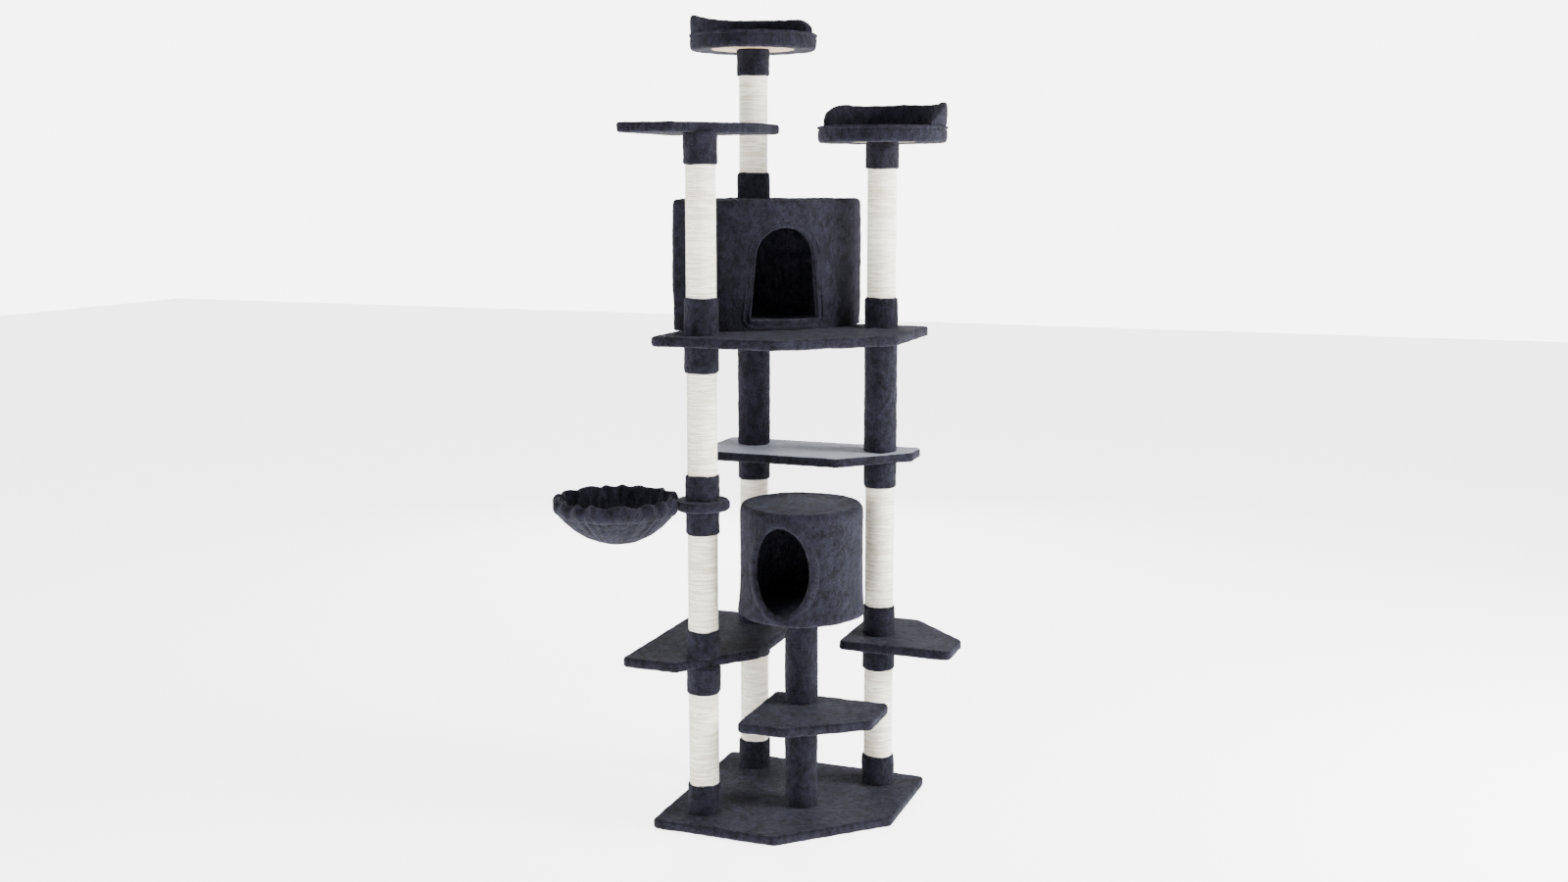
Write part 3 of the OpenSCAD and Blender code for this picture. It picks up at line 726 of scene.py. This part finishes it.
# %% Doorways
class Doorway:
    """A doorway cut straight through a round wall, towards one side."""

    def __init__(self, axis, radius, facing, sill, outline):
        turn = math.radians(facing)
        self.axis, self.radius, self.sill = np.array(axis), radius, sill
        self.front = np.array([math.cos(turn), math.sin(turn)])
        self.side = np.array([-math.sin(turn), math.cos(turn)])
        self.outline = outline

    def on_wall(self, x, up, out):
        r = self.radius + out
        plan = (
            self.axis
            + np.outer(x, self.side)
            + np.sqrt(np.maximum(r * r - x * x, 0))[:, None] * self.front
        )
        return np.column_stack([plan, self.sill + up])

    def holds(self, point, grow):
        """True if a point of the wall lies in the doorway, grown by a margin."""
        off = np.array(point[:2]) - self.axis
        if off @ self.front < 0 or np.linalg.norm(off) < self.radius - 40 * MM:
            return False
        x, up = off @ self.side, point[2] - self.sill
        loop = self.outline - self.outline.mean(0)
        loop = self.outline + grow * loop / np.linalg.norm(loop, axis=1)[:, None]
        inside, n = False, len(loop)
        for i in range(n):
            (xa, ya), (xb, yb) = loop[i], loop[i - 1]
            if (ya > up) != (yb > up) and x < (xb - xa) * (up - ya) / (yb - ya) + xa:
                inside = not inside
        return inside


def softened(loop, passes):
    for _ in range(passes):
        loop = (np.roll(loop, 1, 0) + 2 * loop + np.roll(loop, -1, 0)) / 4
    return loop


def oval_outline(half_width, half_height):
    turn = np.linspace(0, 2 * math.pi, 181)[:-1]
    loop = np.column_stack([half_width * np.cos(turn), half_height * (1 + np.sin(turn))])
    return evenly(loop, 5 * MM)


def arch_outline(half_sill, half_side, shoulder, total):
    turn = np.linspace(0, math.pi, 40)
    arch = np.column_stack([half_side * np.cos(turn), shoulder + (total - shoulder) * np.sin(turn)])
    loop = np.vstack([[(-half_sill, 0), (half_sill, 0)], arch])
    return softened(evenly(loop, 5 * MM), 3)


ROLLED_HEM = np.array([
    (20.0, 4.0), (19.6, 5.0), (17.4, 6.4), (14.6, 7.8), (11.4, 8.8), (8.2, 9.2), (5.0, 8.8), (2.2, 7.4),
    (-0.8, 5.4), (-2.6, 2.2), (-3.0, -1.2), (-2.4, -4.4), (0.6, -7.2), (4.8, -8.6), (8.6, -8.6),
    (11.6, -7.0), (12.6, -5.4), (11.6, -4.4), (5.0, -4.0), (4.0, 0.0), (5.0, 4.0),
]) * MM
FLAT_HEM = np.array([
    (19.4, 4.0), (19.6, 6.4), (18.2, 9.0), (16.4, 9.6), (14.6, 8.0), (13.4, 5.2), (12.4, 5.2),
    (10.0, 5.4), (7.4, 5.6), (6.0, 6.6), (4.8, 8.6), (3.0, 9.8), (0.6, 9.0), (-1.4, 6.4), (-2.4, 3.0),
    (-2.6, -1.0), (-2.0, -4.6), (0.6, -7.2), (4.4, -8.2), (8.0, -7.8), (10.8, -5.6), (10.6, -4.4),
    (5.0, -4.0), (4.0, 0.0), (5.0, 4.0),
]) * MM


def hem(name, door, section, wall, seed):
    """A hem round a doorway. The wall is given as its thickness with both cloths."""
    loop = door.outline
    along = np.roll(loop, -1, 0) - np.roll(loop, 1, 0)
    along /= np.linalg.norm(along, axis=1)[:, None]
    away = np.stack([along[:, 1], -along[:, 0]], 1)
    rings = []
    for b, n in section:
        p = loop + b * away
        rings.append(door.on_wall(p[:, 0], p[:, 1], n - wall / 2))
    rings.append(rings[0])
    points, faces = skin(rings, False, False)
    made = solid(name, points, [f[::-1] for f in faces], plush)
    ruffle(made, (32 * MM, 0.7 * MM), (9 * MM, 0.4 * MM), (4 * MM, 0.3 * MM), seed=seed)
    return made


DOORWAY_REACH = 120 * MM


def without_doorway(points, faces, door, grow=3 * MM):
    """The faces outside the doorway. Only those near its middle line need the full test."""
    middles = [np.mean([points[i] for i in face], 0) for face in faces]
    near = [abs((m[:2] - door.axis) @ door.side) < DOORWAY_REACH for m in middles]
    return [f for f, m, close in zip(faces, middles, near) if not (close and door.holds(m, grow))]


def thicken(made, thickness):
    extra = made.modifiers.new("cloth_thickness", "SOLIDIFY")
    extra.thickness = thickness
    extra.offset = -1


# %% [markdown]
# ## Round house
# A cardboard drum between two round boards, all under one plush cover. The cover sags a little
# into the roof inside a soft ridge, is tight round the side and flares where it is gathered under
# the floor. Inside, thinner plush lines the wall, the floor and the ceiling.

# %% Round house
WALL_T = 9 * MM
low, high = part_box("round_house_cover")
drum_axis, drum_r = ((low.x + high.x) / 2, (low.y + high.y) / 2), (high.x - low.x) / 2
drum_low, drum_high = low.z, high.z
oval = Doorway(drum_axis, drum_r, -90, drum_low + 25 * MM, oval_outline(72 * MM, 112 * MM))
rows = [(x, drum_low + 1.5 * MM) for x in np.linspace(8 * MM, drum_r - 22 * MM, 7)]
rows += [(drum_r - 12 * MM, drum_low + 0.6 * MM), (drum_r - 3 * MM, drum_low + 2.5 * MM),
         (drum_r + 2.2 * MM, drum_low + 7 * MM)]
for z in np.linspace(drum_low + 12 * MM, drum_high - 14 * MM, 50):
    flare = 4.6 * MM * max(0, 1 - (z - drum_low) / (75 * MM)) ** 1.6
    waist = 0.6 * MM * math.sin(math.pi * (z - drum_low) / (drum_high - drum_low))
    rows.append((drum_r + flare - waist, z))
rows += [(drum_r - 0.4 * MM, drum_high - 8 * MM), (drum_r - 2.0 * MM, drum_high - 2.5 * MM),
         (drum_r - 5.5 * MM, drum_high + 2.6 * MM), (drum_r - 10.5 * MM, drum_high + 5.0 * MM),
         (drum_r - 16 * MM, drum_high + 5.0 * MM), (drum_r - 22 * MM, drum_high + 3.6 * MM),
         (drum_r - 29 * MM, drum_high + 2.2 * MM), (drum_r - 38 * MM, drum_high + 1.2 * MM)]
rows += [(x, drum_high + 0.6 * MM) for x in np.linspace(drum_r - 48 * MM, 6 * MM, 14)]
turn = np.arange(200) * 2 * math.pi / 200
rings = []
for r, z in rows:
    drop = max(0, 1 - (z - drum_low) / (90 * MM))
    fold = drop * (1.8 * MM * np.sin(turn * 9 + 0.7) + 1.4 * MM * np.sin(turn * 5 + 2.0))
    rings.append(circle_ring(drum_axis, r + fold * min(1, r / drum_r), z, 200))
points, faces = skin(rings)
drum = solid("round_house_plush", points, without_doorway(points, faces, oval), plush)
ruffle(drum, (70 * MM, 1.2 * MM), *PILE, seed=70)
thicken(drum, 3 * MM)
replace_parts(drum, "round_house_cover")
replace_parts(hem("round_house_rolled_hem", oval, ROLLED_HEM, WALL_T, 73), "round_house_door_trim")


def lining(name, plan, floor_z, ceiling_z, door):
    """Thin dark plush on the inside of a house: ceiling, wall and floor in one skin."""
    middle = plan.mean(0)
    rings = [level(middle + (plan - middle) * s, ceiling_z) for s in np.linspace(0.1, 0.96, 10)]
    rings += [level(plan, z) for z in np.linspace(ceiling_z - 4 * MM, floor_z + 4 * MM, 52)]
    rings += [level(middle + (plan - middle) * s, floor_z) for s in np.linspace(0.96, 0.1, 14)]
    points, faces = skin(rings)
    floor_top = floor_z + 4.2 * MM
    heights = [np.mean([points[i][2] for i in f]) for f in faces]
    floor_faces = [f for f, z in zip(faces, heights) if z < floor_top]
    wall_faces = [f for f, z in zip(faces, heights) if z >= floor_top]
    made = solid(name, points, without_doorway(points, wall_faces, door) + floor_faces, lining_plush)
    ruffle(made, (30 * MM, 1.0 * MM), (11 * MM, 0.5 * MM), seed=len(name))
    return made


room_floor, room_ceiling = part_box("round_house_floor")[1].z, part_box("round_house_roof")[0].z
lining("round_house_lining", circle_ring(drum_axis, drum_r - WALL_T - 1.5 * MM, 0, 180)[:, :2],
       room_floor + 7 * MM, room_ceiling - 2 * MM, oval)
print("round house", round(drum_r * 2, 3), "wide")

# %% [markdown]
# ## Corner house
# A quarter-round card house on the deck, open through an arched doorway. Its straight walls run
# along the deck's left and back edges. Its plan comes from the frame, with the three corners
# softened, because cloth over card never keeps a sharp corner.

# %% Corner house
low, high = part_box("corner_house_cover")
house_plan = inwards(softened(plan_of("corner_house_cover", 5 * MM), 6), -1.2 * MM)
FRONT_R = 385 * MM
curve_axis = (low.x - 6 * MM, high.y + 28 * MM)
arch_shape = arch_outline(half_sill=94 * MM, half_side=80 * MM, shoulder=157 * MM, total=234 * MM)
arch = Doorway(curve_axis, FRONT_R, -46, low.z + 25 * MM, arch_shape)
middle = house_plan.mean(0)
rings = [level(middle + (house_plan - middle) * s, low.z) for s in np.linspace(0.1, 0.95, 6)]
rings += [level(inwards(house_plan, 2 * MM), low.z + 0.5 * MM)]
rings += [level(inwards(house_plan, -1.5 * MM), low.z + 4 * MM)]
for z in np.linspace(low.z + 9 * MM, high.z - 12 * MM, 58):
    share = (z - low.z) / (high.z - low.z)
    rings.append(level(inwards(house_plan, -2.2 * MM * math.sin(math.pi * share) ** 0.8 - 0.8 * MM), z))
for a in np.linspace(0, math.pi / 2, 6):
    edge_z = high.z + 2.6 * MM - 10 * MM * (1 - math.sin(a))
    rings.append(level(inwards(house_plan, 11 * MM * (1 - math.cos(a))), edge_z))
inner = inwards(house_plan, 15 * MM)
rings += [level(middle + (inner - middle) * s, high.z + 1.4 * MM) for s in np.linspace(0.98, 0.04, 30)]
points, faces = skin(rings)
house = solid("corner_house_plush", points, without_doorway(points, faces, arch), plush)
ruffle(house, (80 * MM, 1.8 * MM), *PILE, seed=80)
thicken(house, 3 * MM)
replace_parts(house, "corner_house_cover")
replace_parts(hem("corner_house_hem", arch, FLAT_HEM, WALL_T, 84), "corner_house_door_trim")
room_floor, room_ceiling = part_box("corner_house_floor")[1].z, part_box("corner_house_roof")[0].z
room_plan = softened(inwards(plan_of("corner_house_cover", 5 * MM), WALL_T + 1.5 * MM), 3)
lining("corner_house_lining", room_plan, room_floor + 7 * MM, room_ceiling - 2 * MM, arch)
print("corner house", round(high.x - low.x, 3), "wide", round(high.z - low.z, 3), "tall")

# %% [markdown]
# ## Hammock
# The hammock's wire hoop is clamped in a plush-covered plate on the post. A round cloth is
# gathered on it: its edge is folded over the wire and sewn down, which leaves a wavy frill above
# the wire, a casing, and a seam from which the gathers run down into the bowl. A cloth
# simulation would need the gathers sewn in anyway, so they are shaped directly as waves that
# are strongest at the frill and die out towards the bottom. The flat size given for the cloth
# counts it up to the top of the frill. The edge turned in over the wire isn't counted, and it
# isn't made as a layer of its own.

# %% Hammock plate
low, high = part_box("hammock_plate_cover")
post_axis, plate_r = ((low.x + high.x) / 2, (low.y + high.y) / 2), (high.x - low.x) / 2
soft = 9 * MM
rows = [(x, low.z + 0.4 * MM) for x in np.linspace(36 * MM, plate_r - soft, 4)]
for a in np.linspace(0, math.pi / 2, 6)[1:]:
    rows.append((plate_r - soft * (1 - math.sin(a)), low.z + soft * (1 - math.cos(a))))
for a in np.linspace(0, math.pi / 2, 6)[:-1]:
    rows.append((plate_r - soft * (1 - math.cos(a)), high.z - soft * (1 - math.sin(a))))
rows += [(x, high.z - 0.4 * MM) for x in np.linspace(plate_r - soft, 36 * MM, 4)]
points, faces = skin([circle_ring(post_axis, r, z, 96) for r, z in rows])
plate = solid("hammock_plush_plate", points, faces, plush, body="hammock")
ruffle(plate, *PILE, seed=90)
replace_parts(plate, "hammock_plate_cover")
print("hammock plate", round(plate_r * 2, 3), "wide")

# %% Hammock bowl
low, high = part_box("hammock_hoop")
hoop_axis, hoop_z = np.array([(low.x + high.x) / 2, (low.y + high.y) / 2]), (low.z + high.z) / 2
hoop_r = (high.x - low.x) / 2 - 3 * MM
bowl_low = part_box("hammock_bowl")[0].z
CLEAR = plate_r + 10 * MM
BOWL_TURNS = 360
turn = np.arange(BOWL_TURNS) * 2 * math.pi / BOWL_TURNS
ray = np.column_stack([np.cos(turn), np.sin(turn)])
to_post = np.array(post_axis) - hoop_axis
ahead = ray @ to_post
reach2 = CLEAR**2 - (to_post @ to_post - ahead**2)
plate_side = np.where((reach2 > 0) & (ahead > 0), ahead - np.sqrt(np.maximum(reach2, 0)), 1.0)
casing = softened(np.minimum(hoop_r, plate_side), 6)
near_plate = np.clip((hoop_r + 6 * MM - casing) / (18 * MM), 0, 1) ** 2
phase = turn * 17 + 1.1 * np.sin(turn * 3 + 0.4) + 0.8 * np.sin(turn * 5 + 2.1) + 0.35 * np.sin(turn * 11)
frill = np.sin(phase) + 0.22 * np.sin(turn * 29 + 1.7 * np.sin(turn * 4))
gather = np.sin(turn * 30 + 1.8 * np.sin(turn * 5 + 1)) + 0.5 * np.sin(turn * 43 + 2 * np.sin(turn * 3))
depth = hoop_z - bowl_low - 3 * MM
seam_drop = 23 * MM


def bowl_drop(s):
    """Height of the bowl's cloth over the hoop at a share of its radius."""
    return -seam_drop - (depth - seam_drop) * (1 - s**2.15)


# sections from the bottom centre up the outside, over the frill and down the inside:
# (share of the casing's radius, offset outwards, height over the hoop, frill, gathers)
sections = []
for s in np.linspace(0.03, 0.95, 40):
    sections.append((s, -6 * MM * s, bowl_drop(s), 0, 2.6 * MM * s**1.6))
sections += [
    (1, -6 * MM, -24.5 * MM, 0.06, 1.8 * MM), (1, -4.8 * MM, -22.0 * MM, 0.06, 0.6 * MM),
    (1, -0.5 * MM, -20.0 * MM, 0.08, 1.4 * MM), (1, 4.5 * MM, -15.5 * MM, 0.14, 1.2 * MM),
    (1, 8.2 * MM, -9.0 * MM, 0.24, 0.9 * MM), (1, 9.2 * MM, -2.0 * MM, 0.36, 0.5 * MM),
    (1, 8.4 * MM, 4.5 * MM, 0.5, 0), (1, 6.0 * MM, 10.0 * MM, 0.68, 0), (1, 2.6 * MM, 15.0 * MM, 0.86, 0),
    (1, -1.0 * MM, 18.6 * MM, 1.0, 0), (1, -4.8 * MM, 20.4 * MM, 1.0, 0), (1, -8.2 * MM, 18.6 * MM, 0.96, 0),
    (1, -10.2 * MM, 13.5 * MM, 0.8, 0), (1, -11.4 * MM, 6.0 * MM, 0.6, 0.4 * MM),
    (1, -12.0 * MM, -2.0 * MM, 0.45, 1.0 * MM), (1, -12.0 * MM, -11.0 * MM, 0.25, 1.6 * MM),
    (1, -11.4 * MM, -19.0 * MM, 0.1, 2.2 * MM),
]
for s in np.linspace(0.92, 0.03, 38):
    sections.append((s, -8 * MM * s, bowl_drop(s) + 4 * MM, 0, 2.6 * MM * s**1.6))
rings = []
calm = 1 - 0.75 * near_plate
lift = (3.4 - 2.0 * ray[:, 1]) * MM * np.sin(phase + 0.9)
for share, out, up, wave, pleat in sections:
    r = share * (hoop_r + (casing - hoop_r) * share**2) + out
    r = r + calm * (wave * 6.5 * MM * frill + pleat * gather)
    z = hoop_z + up - 6 * MM * wave * near_plate + calm * wave * lift
    rings.append(np.column_stack([hoop_axis + ray * r[:, None], z]))
points, faces = skin(rings)
bowl = solid("hammock_gathered_bowl", points, faces, plush, body="hammock")
ruffle(bowl, (40 * MM, 1.6 * MM), (13 * MM, 0.7 * MM), (6 * MM, 0.3 * MM), seed=95)
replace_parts(bowl, "hammock_bowl")
print("hammock bowl", len(points), "points,", round(depth, 3), "deep")
